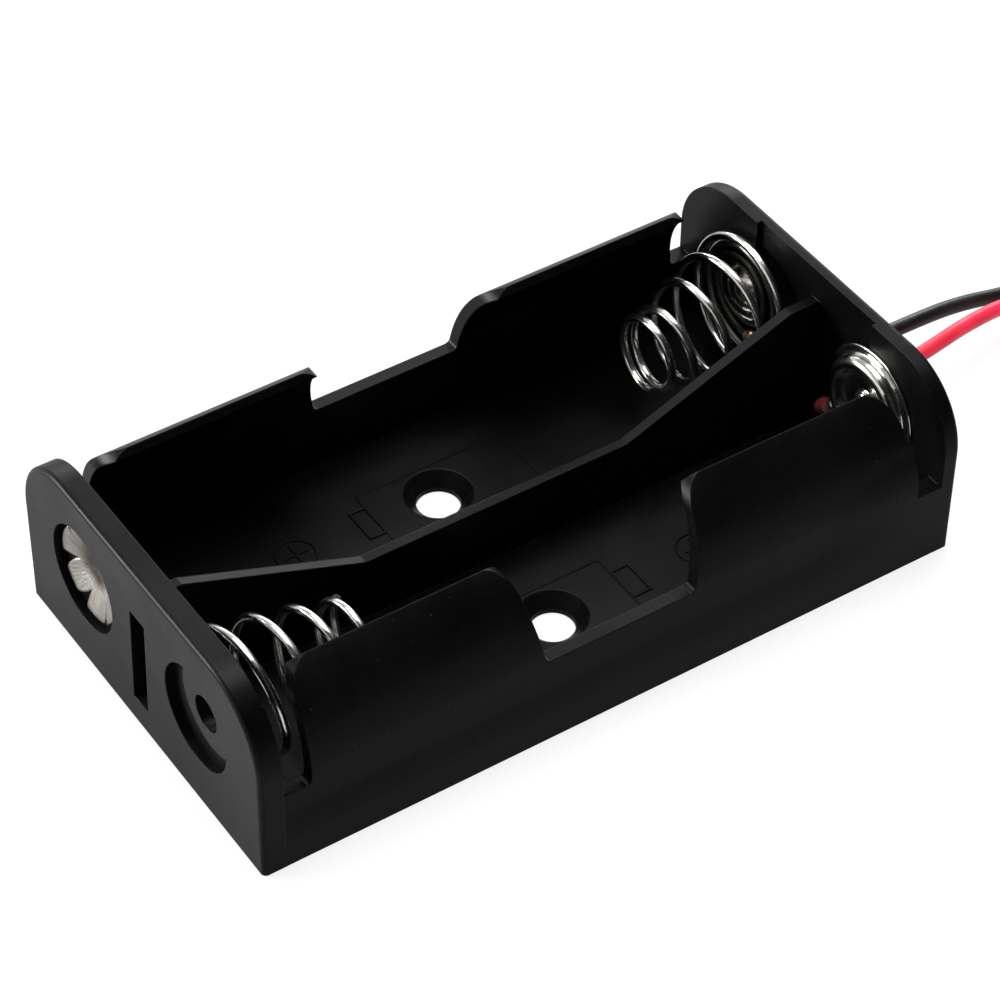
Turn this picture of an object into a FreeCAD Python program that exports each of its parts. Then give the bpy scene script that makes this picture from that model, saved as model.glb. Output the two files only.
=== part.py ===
# Open holder for two cylindrical cells side by side, wired in series, with two flying leads.
# X runs along the cells towards the leads, Y across them, Z up; the origin is under the floor's middle.
# Lengths are millimetres. Each piece of the real object is one labelled object and one STEP file.
import FreeCAD, Part
import math
import os

import Sketcher
from FreeCAD import Placement, Rotation, Vector

SIZES = {
    # Moulded tray
    "tray_length": 57.5,
    "tray_width": 31.86,
    "tray_height": 15.0,
    "floor_thickness": 1.4,
    "shoulder_radius": 6.0,
    "link_end_thickness": 1.8,
    "lead_end_thickness": 1.35,
    "end_edge_radius": 0.4,
    # Curved side walls, which lean in and close over the cells
    "wall_foot_inset": 0.13,
    "wall_lean": 0.32,
    "wall_knee_height": 7.5,
    "wall_tip_half_width": 11.6,
    "wall_tip_height": 14.14,
    "wall_foot_thickness": 1.05,
    "wall_tip_thickness": 0.68,
    # Finger cut-out and flexing slots in the side walls
    "ledge_height": 7.15,
    "finger_foot_half": 6.2,
    "finger_top_half": 7.05,
    "flap_corner": 2.0,
    "outer_corner": 2.3,
    "foot_corner": 0.45,
    "slot_floor_height": 6.4,
    "link_slot_width": 2.4,
    "lead_slot_foot": 1.95,
    "lead_slot_top": 2.55,
    # Divider between the cells
    "rib_thickness": 0.8,
    "rib_low_height": 6.75,
    "rib_low_half": 11.0,
    "rib_high_height": 12.4,
    "rib_high_half": 25.3,
    # Screw holes, countersunk from the inside
    "screw_half_pitch": 7.42,
    "screw_bore_radius": 1.65,
    "countersink_radius": 2.6,
    "countersink_depth": 0.95,
    # Contact seats in the end walls
    "seat_half_pitch": 7.6,
    "seat_height": 8.2,
    "seat_radius": 5.0,
    "seat_depth": 1.0,
    "view_hole_radius": 4.1,
    "crescent_radius": 4.0,
    "tongue_radius": 3.55,
    "pin_hole_radius": 1.38,
    "pin_hole_across": 1.66,
    "pin_hole_rise": 1.6,
    "core_slot_width": 1.95,
    "core_slot_low": 2.2,
    "core_slot_high": 10.85,
    "core_slot_slant": 0.4,
    "recess_half_width": 6.8,
    "recess_depth": 0.4,
    "rivet_recess_depth": 0.65,
    "channel_clearance": 0.1,
    # Rivet contacts, one behind each cell's positive end
    "flare_radius": 4.7,
    "flare_thickness": 0.3,
    "flare_notches": 7,
    "notch_inner_radius": 2.35,
    "notch_half_width": 0.6,
    "barrel_radius": 2.3,
    "barrel_dish_radius": 1.5,
    "barrel_dish_depth": 0.8,
    "rivet_grip": 0.7,
    "brim_radius": 4.9,
    "brim_thickness": 0.2,
    "crown_radius": 4.0,
    "crown_height": 1.15,
    "crown_tube": 0.62,
    "crown_dish_height": 0.45,
    "nipple_radius": 1.15,
    "nipple_height": 1.05,
    # Conical springs
    "wire_radius": 0.33,
    "wire_gap": 0.03,
    "spring_turns": 5.15,
    "spring_wide_radius": 5.15,
    "seat_coil_radius": 4.55,
    "series_tip_radius": 3.15,
    "series_pitch": 3.0,
    "series_open_turns": 3.6,
    "negative_tip_radius": 2.85,
    "negative_pitch": 2.7,
    "negative_open_turns": 3.3,
    "negative_lean": 0.65,
    "snail_offset_across": 0.55,
    "snail_offset_down": 0.35,
    "snail_step": 1.1,
    "rivet_head_radius": 2.4,
    "rivet_head_height": 0.75,
    "stem_radius": 1.7,
    "stem_flare_radius": 2.7,
    "stem_flare_thickness": 0.35,
    # Leads
    "lead_radius": 0.6,
    "strand_radius": 0.18,
    "strand_lead_in": 0.3,
    "lead_hole_clearance": 0.05,
    "lead_height": 3.8,
    "black_exit": 1.6,
    "red_exit": 2.2,
    "elbow_setback": 0.75,
    "stub_length": 1.55,
    "red_joint_angle": -37.0,
    "solder_radius": 0.7,
    "bare_end_radius": 0.3,
    "bare_end_length": 4.0,
    "coil_mean_radius": 6.6,
    "coil_lead_in": 6.0,
    "coil_top_sweep": 125.0,
}

STEPS_PER_TURN = 12

# Routes of the leads to their coils, chosen by hand, from a point in line with each hole:
# along X from the wall's outer face, across, up.
BLACK_ROUTE = [
    (4.25, 1.6, 3.8),
    (9.75, 1.75, 3.65),
    (15.25, 2.45, 2.6),
    (20.75, 2.25, 1.3),
    (26.25, 2.4, 0.6),
    (32.25, 3.1, 0.6),
]
RED_ROUTE = [
    (4.25, -2.2, 3.8),
    (8.75, -1.75, 3.95),
    (13.45, -0.75, 3.7),
    (18.25, 0.2, 2.8),
    (23.25, 0.3, 1.3),
    (28.25, -0.35, 0.6),
    (32.25, -1.4, 0.6),
]

doc = FreeCAD.newDocument("cell_holder")
sheet = doc.addObject("Spreadsheet::Sheet", "Sizes")
for row, (alias, amount) in enumerate(SIZES.items(), start=1):
    sheet.set("A%d" % row, alias)
    sheet.set("B%d" % row, str(amount))
    sheet.setAlias("B%d" % row, alias)
doc.recompute()


class Size:
    """A size as its number now and as the text of the expression that gives it."""

    def __init__(self, value, text):
        self.value = float(value)
        self.text = text

    def __add__(self, other):
        other = as_size(other)
        return Size(self.value + other.value, "(%s + %s)" % (self.text, other.text))

    def __sub__(self, other):
        other = as_size(other)
        return Size(self.value - other.value, "(%s - %s)" % (self.text, other.text))

    def __mul__(self, other):
        other = as_size(other)
        return Size(self.value * other.value, "(%s * %s)" % (self.text, other.text))

    def __truediv__(self, other):
        other = as_size(other)
        return Size(self.value / other.value, "(%s / %s)" % (self.text, other.text))

    def __neg__(self):
        return Size(-self.value, "(0 - %s)" % self.text)

    def root(self):
        return Size(math.sqrt(self.value), "sqrt(%s)" % self.text)


def as_size(amount):
    if isinstance(amount, Size):
        return amount
    return Size(amount, repr(float(amount)))


def cell(alias):
    return Size(sheet.get(alias), "Sizes." + alias)


def size(alias):
    return float(sheet.get(alias))


def body(label):
    made = doc.addObject("PartDesign::Body", label)
    made.Label = label
    return made


def sketch_on(owner, name, role, shift=0.0):
    """A sketch on one of the body's origin planes, moved along the plane's normal."""
    made = owner.newObject("Sketcher::SketchObject", name)
    plane = next(f for f in owner.Origin.OriginFeatures if f.Role == role)
    made.AttachmentSupport = [(plane, "")]
    made.MapMode = "FlatFace"
    shift = as_size(shift)
    made.AttachmentOffset = Placement(Vector(0, 0, shift.value), Rotation())
    made.setExpression("AttachmentOffset.Base.z", shift.text)
    return made


def pin(sketch, geometry, point, x, y):
    """Holds a point of the sketch at the given sizes from the sketch's origin."""
    for kind, amount in (("DistanceX", as_size(x)), ("DistanceY", as_size(y))):
        index = sketch.addConstraint(Sketcher.Constraint(kind, -1, 1, geometry, point, amount.value))
        sketch.renameConstraint(index, "%s_%d" % (kind, index))
        sketch.setExpression("Constraints.%s_%d" % (kind, index), amount.text)


def hold_radius(sketch, geometry, radius):
    index = sketch.addConstraint(Sketcher.Constraint("Radius", geometry, radius.value))
    sketch.renameConstraint(index, "Radius_%d" % index)
    sketch.setExpression("Constraints.Radius_%d" % index, radius.text)


def circle(sketch, x, y, radius):
    x, y, radius = as_size(x), as_size(y), as_size(radius)
    shape = Part.Circle(Vector(x.value, y.value, 0), Vector(0, 0, 1), radius.value)
    geometry = sketch.addGeometry(shape, False)
    pin(sketch, geometry, 3, x, y)
    hold_radius(sketch, geometry, radius)


def arc_between(start, end, radius, turn, long_way):
    """The arc from start to end; turn is 1 to the left and -1 to the right."""
    chord = end - start
    across = Vector(-chord.y, chord.x, 0)
    across.normalize()
    reach = math.sqrt(max(radius * radius - chord.Length ** 2 / 4, 0.0))
    side = turn * (-1 if long_way else 1)
    centre = (start + end) * 0.5 + across * (reach * side)
    first, last = (start, end) if turn > 0 else (end, start)
    angle_0 = math.atan2(first.y - centre.y, first.x - centre.x)
    angle_1 = math.atan2(last.y - centre.y, last.x - centre.x)
    if angle_1 <= angle_0:
        angle_1 += 2 * math.pi
    return Part.ArcOfCircle(Part.Circle(centre, Vector(0, 0, 1), radius), angle_0, angle_1)


def outline(sketch, corners):
    """A closed loop. A corner is (x, y), or (x, y, radius, turn[, long_way]) where an arc follows it."""
    corners = [(as_size(c[0]), as_size(c[1])) + tuple(c[2:]) for c in corners]
    ends = []
    for index, corner in enumerate(corners):
        after = corners[(index + 1) % len(corners)]
        start = Vector(corner[0].value, corner[1].value, 0)
        end = Vector(after[0].value, after[1].value, 0)
        if len(corner) == 2:
            geometry = sketch.addGeometry(Part.LineSegment(start, end), False)
            ends.append((geometry, 1, 2))
            continue
        radius, turn = as_size(corner[2]), corner[3]
        shape = arc_between(start, end, radius.value, turn, len(corner) > 4)
        geometry = sketch.addGeometry(shape, False)
        hold_radius(sketch, geometry, radius)
        ends.append((geometry, 1, 2) if turn > 0 else (geometry, 2, 1))
    for index, corner in enumerate(corners):
        geometry, first, _ = ends[index]
        before, _, last = ends[index - 1]
        sketch.addConstraint(Sketcher.Constraint("Coincident", before, last, geometry, first))
        pin(sketch, geometry, first, corner[0], corner[1])


def rectangle(sketch, x_0, y_0, x_1, y_1):
    outline(sketch, [(x_0, y_0), (x_1, y_0), (x_1, y_1), (x_0, y_1)])


def pad(owner, name, sketch, length, symmetric=False, reverse=False):
    made = owner.newObject("PartDesign::Pad", name)
    made.Profile = sketch
    made.SideType = "Symmetric" if symmetric else "One side"
    made.Reversed = reverse
    made.setExpression("Length", as_size(length).text)
    return made


def pocket(owner, name, sketch, depth=None, reverse=False):
    """Cuts to a depth against the sketch's normal, or right through both ways without one."""
    made = owner.newObject("PartDesign::Pocket", name)
    made.Profile = sketch
    made.Reversed = reverse
    if depth is None:
        made.Type = "ThroughAll"
        made.SideType = "Symmetric"
    else:
        made.setExpression("Length", as_size(depth).text)
    return made


def checked(owner, feature, adds):
    """Recomputes and makes sure that the feature changed the volume the way it should."""
    before = feature.BaseFeature.Shape.Volume if feature.BaseFeature else 0.0
    doc.recompute()
    change = feature.Shape.Volume - before
    if (change > 0) != adds or abs(change) < 1e-6:
        raise SystemExit("%s in %s changed the volume by %.4f" % (feature.Name, owner.Label, change))
    return feature


def place_bound(item, x=None, y=None, z=None):
    for axis, amount in (("x", x), ("y", y), ("z", z)):
        if amount is not None:
            item.setExpression("Placement.Base." + axis, as_size(amount).text)


# Derived places that several pieces share
half_length = cell("tray_length") / 2
half_width = cell("tray_width") / 2
link_face = -half_length + cell("link_end_thickness")
lead_face = half_length - cell("lead_end_thickness")
foot_out = half_width - cell("wall_foot_inset")
knee_out = foot_out - cell("wall_lean")
foot_in = foot_out - cell("wall_foot_thickness")
knee_in = knee_out - cell("wall_foot_thickness")
seat_pitch = cell("seat_half_pitch")
seat_height = cell("seat_height")
seat_floor = link_face - cell("seat_depth")
recess_face = lead_face + cell("recess_depth")


def wall_radius(tip_across, tip_rise):
    """Radius of the arc that leaves the leaning wall without a kink and ends at the tip."""
    knee, lean = cell("wall_knee_height"), cell("wall_lean")
    slope = (knee * knee + lean * lean).root()
    return (tip_across * tip_across + tip_rise * tip_rise) * slope / (
        (tip_across * knee - tip_rise * lean) * 2)


def side_wall_section(sketch, side):
    """Cross-section of one side wall: leaning foot, then an arc that closes in over the cell."""
    knee = cell("wall_knee_height")
    tip_out, tip_top = cell("wall_tip_half_width"), cell("wall_tip_height")
    # The end of the wall is square to its arc, about half way between level and upright.
    tip_in = tip_out - cell("wall_tip_thickness") * 0.5
    tip_low = tip_top - cell("wall_tip_thickness") * 0.86
    outer = wall_radius(knee_out - tip_out, tip_top - knee)
    inner = wall_radius(knee_in - tip_in, tip_low - knee)
    points = [
        (foot_out, 0.0),
        (knee_out, knee, outer, 1),
        (tip_out, tip_top),
        (tip_in, tip_low, inner, -1),
        (knee_in, knee),
        (foot_in, 0.0),
    ]
    if side < 0:
        points = [(-p[0], p[1]) + ((p[2], -p[3]) if len(p) > 2 else ()) for p in points]
    outline(sketch, points)


def cut_flaps(sketch):
    """Side view of what is cut from both walls: a slot by each end wall and the finger cut-out."""
    tip, above = cell("wall_tip_height"), cell("tray_height") + 1.0
    beyond = half_length + 1.0
    corner, outer_corner = cell("flap_corner"), cell("outer_corner")
    foot = cell("foot_corner")
    ledge, slot_floor = cell("ledge_height"), cell("slot_floor_height")
    left = link_face + cell("link_slot_width")
    outline(sketch, [
        (-beyond, slot_floor), (left - foot, slot_floor, foot, 1), (left, slot_floor + foot),
        (left, tip - outer_corner, outer_corner, -1), (left + outer_corner, tip),
        (left + outer_corner, above), (-beyond, above)])
    low, high = cell("finger_foot_half"), cell("finger_top_half")
    outline(sketch, [
        (-low + foot, ledge), (low - foot, ledge, foot, 1), (low, ledge + foot),
        (high, tip - corner, corner, -1), (high + corner, tip),
        (high + corner, above), (-high - corner, above), (-high - corner, tip, corner, -1),
        (-high, tip - corner), (-low, ledge + foot, foot, 1)])
    right_low = lead_face - cell("lead_slot_foot")
    right_high = lead_face - cell("lead_slot_top")
    outline(sketch, [
        (beyond, slot_floor), (beyond, above), (right_high - outer_corner, above),
        (right_high - outer_corner, tip, outer_corner, -1), (right_high, tip - outer_corner),
        (right_low, slot_floor + foot, foot, 1), (right_low + foot, slot_floor)])


def end_wall_outline(sketch):
    radius, top = cell("shoulder_radius"), cell("tray_height")
    outline(sketch, [
        (-half_width, 0.0), (half_width, 0.0), (half_width, top - radius, radius, 1),
        (half_width - radius, top), (-half_width + radius, top, radius, 1),
        (-half_width, top - radius)])


def outer_edges(feature, x_face):
    """Names of the edges round an end wall's outer face, apart from the one on the floor."""
    names = []
    for index, edge in enumerate(feature.Shape.Edges, start=1):
        box = edge.BoundBox
        on_face = abs(box.XMin - x_face) < 1e-6 and abs(box.XMax - x_face) < 1e-6
        if on_face and box.ZMax > 1e-6:
            names.append("Edge%d" % index)
    return names


def make_housing():
    housing = body("housing")
    base = sketch_on(housing, "FloorSketch", "XY_Plane")
    rectangle(base, -half_length + 0.2, -foot_out, half_length - 0.2, foot_out)
    checked(housing, pad(housing, "Floor", base, cell("floor_thickness")), True)

    section = sketch_on(housing, "SideWallSketch", "YZ_Plane")
    side_wall_section(section, 1)
    side_wall_section(section, -1)
    walls = pad(housing, "SideWalls", section, (half_length - cell("end_edge_radius")) * 2, True)
    checked(housing, walls, True)

    flaps = sketch_on(housing, "FlapSketch", "XZ_Plane")
    cut_flaps(flaps)
    checked(housing, pocket(housing, "FlapCuts", flaps), False)

    for name, start, thickness, face, reverse in (
            ("LinkEnd", link_face, cell("link_end_thickness"), -half_length, True),
            ("LeadEnd", lead_face, cell("lead_end_thickness"), half_length, False)):
        wall = sketch_on(housing, name + "Sketch", "YZ_Plane", start)
        end_wall_outline(wall)
        built = checked(housing, pad(housing, name, wall, thickness, reverse=reverse), True)
        soft = housing.newObject("PartDesign::Fillet", name + "Fillet")
        soft.Base = (built, outer_edges(built, face.value))
        soft.setExpression("Radius", "Sizes.end_edge_radius")
        checked(housing, soft, False)

    recess = sketch_on(housing, "RecessSketch", "YZ_Plane", lead_face)
    half = cell("recess_half_width")
    rectangle(recess, -half, cell("floor_thickness"), half, cell("tray_height") + 1.0)
    checked(housing, pocket(housing, "Recess", recess, cell("recess_depth"), reverse=True), False)

    rib = sketch_on(housing, "RibSketch", "XZ_Plane")
    low, high = cell("rib_low_height"), cell("rib_high_height")
    inside = cell("floor_thickness") / 2
    near, far = cell("rib_low_half"), cell("rib_high_half")
    lead_root, link_root = recess_face + 0.3, link_face - 0.3
    outline(rib, [
        (link_root, inside), (lead_root, inside), (lead_root, high),
        (far, high), (near, low), (-near, low), (-far, high), (link_root, high)])
    checked(housing, pad(housing, "Rib", rib, cell("rib_thickness"), True), True)

    cut_link_end(housing)
    cut_lead_end(housing)
    drill_screw_holes(housing)
    return housing


def cut_link_end(housing):
    """Seats, wire channel, view hole, crescent, pin hole and core slot of the wall without leads."""
    seats = sketch_on(housing, "SeatSketch", "YZ_Plane", link_face)
    circle(seats, seat_pitch, seat_height, cell("seat_radius"))
    circle(seats, -seat_pitch, seat_height, cell("seat_radius"))
    checked(housing, pocket(housing, "Seats", seats, cell("seat_depth")), False)

    channel = sketch_on(housing, "ChannelSketch", "YZ_Plane", link_face)
    link_height = seat_height + cell("seat_coil_radius")
    half = cell("wire_radius") + cell("channel_clearance")
    rectangle(channel, -seat_pitch, link_height - half, seat_pitch, link_height + half)
    checked(housing, pocket(housing, "Channel", channel, cell("seat_depth")), False)

    outside = -half_length - 0.5
    skin = cell("link_end_thickness") - cell("seat_depth") + 0.6
    view = sketch_on(housing, "ViewSketch", "YZ_Plane", outside)
    circle(view, seat_pitch, seat_height - 0.1, cell("view_hole_radius"))
    round_, tongue = cell("crescent_radius"), cell("tongue_radius")
    centre_y, centre_z = -seat_pitch - 0.1, seat_height - 0.2
    # The crescent is the view hole's twin with a round tongue left standing in its outer upper part.
    outline(view, [
        (centre_y + round_ * 0.2873, centre_z + round_ * 0.9578, tongue, -1),
        (centre_y - round_ * 0.9947, centre_z - round_ * 0.1034, round_, 1, "long way")])
    circle(view, -seat_pitch - cell("pin_hole_across"), seat_height + cell("pin_hole_rise"),
           cell("pin_hole_radius"))
    checked(housing, pocket(housing, "ViewHoles", view, skin, reverse=True), False)

    core = sketch_on(housing, "CoreSlotSketch", "YZ_Plane", outside)
    half_slot, slant = cell("core_slot_width") / 2, cell("core_slot_slant") / 2
    low, high = cell("core_slot_low"), cell("core_slot_high")
    outline(core, [
        (-half_slot + slant, low), (half_slot + slant, low),
        (half_slot - slant, high), (-half_slot - slant, high)])
    through = cell("link_end_thickness") + 0.5
    checked(housing, pocket(housing, "CoreSlot", core, through, reverse=True), False)


def cut_lead_end(housing):
    """Holes of the two leads, and the holes and counterbores of the two rivets."""
    outside = half_length + 0.5
    through = cell("lead_end_thickness") + 1.0
    holes = sketch_on(housing, "LeadHoleSketch", "YZ_Plane", outside)
    radius = cell("lead_radius") + cell("lead_hole_clearance")
    circle(holes, cell("black_exit"), cell("lead_height"), radius)
    circle(holes, -cell("red_exit"), cell("lead_height"), radius)
    circle(holes, -seat_pitch, seat_height, cell("barrel_radius") + cell("wire_gap"))
    circle(holes, seat_pitch, seat_height, cell("stem_radius") + cell("wire_gap"))
    checked(housing, pocket(housing, "LeadHoles", holes, through), False)

    counter = sketch_on(housing, "RivetSketch", "YZ_Plane", outside)
    circle(counter, -seat_pitch, seat_height, cell("seat_radius"))
    circle(counter, seat_pitch, seat_height, cell("stem_flare_radius") + 0.3)
    depth = cell("rivet_recess_depth") + 0.5
    checked(housing, pocket(housing, "RivetCounterbore", counter, depth), False)


def drill_screw_holes(housing):
    for side, name in ((1, "Far"), (-1, "Near")):
        across = cell("screw_half_pitch") * side
        bore = housing.newObject("PartDesign::SubtractiveCylinder", name + "Bore")
        bore.setExpression("Radius", "Sizes.screw_bore_radius")
        bore.setExpression("Height", "Sizes.floor_thickness + 2")
        place_bound(bore, y=across, z=-1.0)
        checked(housing, bore, False)
        sink = housing.newObject("PartDesign::SubtractiveCone", name + "Countersink")
        sink.setExpression("Radius1", "Sizes.screw_bore_radius")
        sink.setExpression("Radius2", "Sizes.countersink_radius")
        sink.setExpression("Height", "Sizes.countersink_depth")
        place_bound(sink, y=across, z=cell("floor_thickness") - cell("countersink_depth"))
        checked(housing, sink, False)


def make_button(label):
    """Rivet contact about its own Z: notched flare, barrel, then a head with a brim, crown and nipple."""
    button = body(label)
    flare = sketch_on(button, label + "_FlareSketch", "XY_Plane")
    circle(flare, 0.0, 0.0, cell("flare_radius"))
    checked(button, pad(button, label + "_Flare", flare, cell("flare_thickness")), True)

    notch = sketch_on(button, label + "_NotchSketch", "XY_Plane")
    outline(notch, [
        (cell("notch_inner_radius"), 0.0),
        (cell("flare_radius") + 0.3, -cell("notch_half_width")),
        (cell("flare_radius") + 0.3, cell("notch_half_width"))])
    cut = checked(button, pocket(button, label + "_Notch", notch), False)
    ring = button.newObject("PartDesign::PolarPattern", label + "_Notches")
    ring.Originals = [cut]
    ring.Axis = (next(f for f in button.Origin.OriginFeatures if f.Role == "Z_Axis"), [""])
    ring.setExpression("Occurrences", "Sizes.flare_notches")
    button.Tip = ring
    doc.recompute()

    head = sketch_on(button, label + "_HeadSketch", "XZ_Plane")
    grip = cell("flare_thickness") + cell("rivet_grip")
    crown, tube = cell("crown_radius"), cell("crown_tube")
    top = grip + cell("crown_height")
    dish = grip + cell("crown_dish_height")
    nipple, peak = cell("nipple_radius"), grip + cell("nipple_height")
    # The nipple's cap is an arc that is level at the axis.
    rise = peak - dish
    dome = (nipple * nipple + rise * rise) / (rise * 2)
    outline(head, [
        (0.0, 0.1), (cell("barrel_radius"), 0.1), (cell("barrel_radius"), grip),
        (cell("brim_radius"), grip), (cell("brim_radius"), grip + cell("brim_thickness")),
        (crown, grip + cell("brim_thickness")), (crown, top - tube, tube, 1),
        (crown - tube, top, tube * 1.3, 1), (crown - tube * 2.1, dish + 0.12),
        (nipple + 0.35, dish - 0.03), (nipple, dish, dome, 1), (0.0, peak)])
    turned = button.newObject("PartDesign::Revolution", label + "_Head")
    turned.Profile = head
    turned.ReferenceAxis = (head, ["V_Axis"])
    turned.Angle = 360
    checked(button, turned, True)

    dish_cut = sketch_on(button, label + "_BarrelSketch", "XY_Plane")
    circle(dish_cut, 0.0, 0.0, cell("barrel_dish_radius"))
    hollow = pocket(button, label + "_Barrel", dish_cut, cell("barrel_dish_depth"), reverse=True)
    checked(button, hollow, False)
    return button


def plain(label, shape):
    """A piece whose shape comes from Part's own functions."""
    made = doc.addObject("Part::Feature", label)
    made.Label = label
    made.Shape = shape
    return made


def swept(points, radius, label):
    """Round wire along one smooth curve through the points, in lengths of half a turn or so."""
    curve = Part.BSplineCurve()
    curve.interpolate(points)
    knots = curve.getKnots()
    stops = knots[:-1:STEPS_PER_TURN // 2] + knots[-1:]
    edges = []
    for first, last in zip(stops, stops[1:]):
        length = curve.copy()
        length.segment(first, last)
        edges.append(length.toShape())
    heading = curve.tangent(stops[0])[0]
    section = Part.Wire([Part.Circle(points[0], heading, radius).toShape()])
    solid = Part.Wire(edges).makePipeShell([section], True, False)
    expected = math.pi * radius * radius * curve.length()
    print("%s: length %.1f, volume %.2f of %.2f" % (label, curve.length(), solid.Volume, expected))
    if abs(solid.Volume / expected - 1) > 0.01:
        raise SystemExit(label + " does not have its section's volume")
    return solid


def on_circle(x, centre_y, centre_z, radius, angle):
    return Vector(x, centre_y + radius * math.cos(angle), centre_z + radius * math.sin(angle))


def smooth(share):
    share = min(1.0, max(0.0, share))
    return share * share * (3 - 2 * share)


def cone(kind):
    """Distance from the base and radius of a spring's wire, at each step from its base to its tip."""
    pitch, opened = size(kind + "_pitch"), size(kind + "_open_turns")
    wide, tip = size("spring_wide_radius"), size(kind + "_tip_radius")
    closed = 2 * (size("wire_radius") + size("wire_gap"))
    places = []
    along = 0.0
    for step in range(int(size("spring_turns") * STEPS_PER_TURN) + 1):
        turn = step / STEPS_PER_TURN
        share = min(1.0, max(0.0, (turn - 0.5) / (opened - 0.1)))
        places.append((turn, along, tip + (wide - tip) * (1 - share ** 1.3)))
        # The wire leaves its base over one turn and closes up over the last ones.
        middle = turn + 0.5 / STEPS_PER_TURN
        rise = pitch * min(1.0, middle) + (closed - pitch) * min(1.0, max(0.0, middle - opened))
        along += rise / STEPS_PER_TURN
    return places


def make_series_spring():
    """Spring of the near bay, whose wire crosses the divider and rings the far button's barrel."""
    radius, coil = size("wire_radius"), size("seat_coil_radius")
    pitch, height = size("seat_half_pitch"), size("seat_height")
    near_x = seat_floor.value + radius + size("wire_gap")
    far_x = near_x + size("flare_thickness")
    points = []
    for turn, along, wide in cone("series"):
        snug = coil + (wide - coil) * smooth((turn - 0.5) / 0.75)
        points.append(on_circle(near_x + along, -pitch, height, snug, 2 * math.pi * turn))
    points.reverse()
    # Three quarters of a turn on the seat, ending at the top, then straight across the divider.
    rest = int(0.75 * STEPS_PER_TURN)
    for step in range(1, rest + 1):
        angle = -2 * math.pi * step / STEPS_PER_TURN
        points.append(on_circle(near_x, -pitch, height, coil, angle))
    for share in (0.1, 0.2, 0.35, 0.5, 0.65, 0.8, 0.9):
        x = near_x + (far_x - near_x) * smooth(share)
        points.append(Vector(x, pitch * (2 * share - 1), height + coil))
    ring = size("barrel_radius") + radius + size("wire_gap")
    for step in range(int(1.4 * STEPS_PER_TURN)):
        turn = step / STEPS_PER_TURN
        inward = coil + (ring - coil) * smooth(turn / 0.55)
        points.append(on_circle(far_x, pitch, height, inward, math.pi / 2 - 2 * math.pi * turn))
    return plain("series_spring", swept(points, radius, "series spring"))


def snail_point(turn, x):
    """A place on the flat spiral that leads from the widest turn in to the rivet's stem."""
    stem = size("stem_radius") + size("wire_radius") + size("wire_gap")
    wide, step = size("spring_wide_radius"), size("snail_step")
    left = min(1.0, turn * step / (wide - stem))
    centre_y = size("seat_half_pitch") - size("snail_offset_across") * (1 - left)
    centre_z = size("seat_height") - size("snail_offset_down") * (1 - left)
    return on_circle(x, centre_y, centre_z, max(stem, wide - step * turn), math.pi / 2 + 2 * math.pi * turn)


def make_negative_spring():
    """Spring of the far bay, whose wire winds in like a snail's shell to its rivet at the wall."""
    radius = size("wire_radius")
    x = lead_face.value - radius - size("wire_gap")
    points = []
    places = cone("negative")
    reach = places[-1][1]
    for turn, along, wide in places[STEPS_PER_TURN // 2:]:
        lean = size("negative_lean") * along / reach
        centre_y = size("seat_half_pitch") - size("snail_offset_across") - lean
        centre_z = size("seat_height") - size("snail_offset_down") - lean
        angle = -math.pi / 2 - 2 * math.pi * turn
        points.append(on_circle(x - along, centre_y, centre_z, wide, angle))
    points.reverse()
    rise = places[STEPS_PER_TURN // 2][1]
    stem = size("stem_radius") + radius + size("wire_gap")
    turns = (size("spring_wide_radius") - stem) / size("snail_step") + 0.5
    for step in range(1, int(turns * STEPS_PER_TURN) + 1):
        turn = step / STEPS_PER_TURN
        points.append(snail_point(turn, x - rise * (1 - smooth(turn))))
    return plain("negative_spring", swept(points, radius, "negative spring"))


def make_negative_rivet():
    """Rivet through the wall: domed head over the snail's inner turn, stem, and flare outside."""
    rivet = body("negative_rivet")
    profile = sketch_on(rivet, "RivetProfile", "XZ_Plane")
    head, high = cell("rivet_head_radius"), cell("rivet_head_height")
    stem, flare = cell("stem_radius"), cell("stem_flare_radius")
    under = (cell("wire_radius") + cell("wire_gap")) * 2
    outer = -cell("rivet_grip")
    back = outer - cell("stem_flare_thickness")
    dome = (head * head + high * high) / (high * 2)
    outline(profile, [
        (0.0, back), (flare, back), (flare, outer), (stem, outer), (stem, under),
        (head, under, dome, 1), (0.0, under + high)])
    turned = rivet.newObject("PartDesign::Revolution", "RivetTurned")
    turned.Profile = profile
    turned.ReferenceAxis = (profile, ["V_Axis"])
    turned.Angle = 360
    checked(rivet, turned, True)
    rivet.Placement.Rotation = Rotation(Vector(0, 1, 0), -90)
    place_bound(rivet, x=lead_face, y=seat_pitch, z=seat_height)
    return rivet


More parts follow.
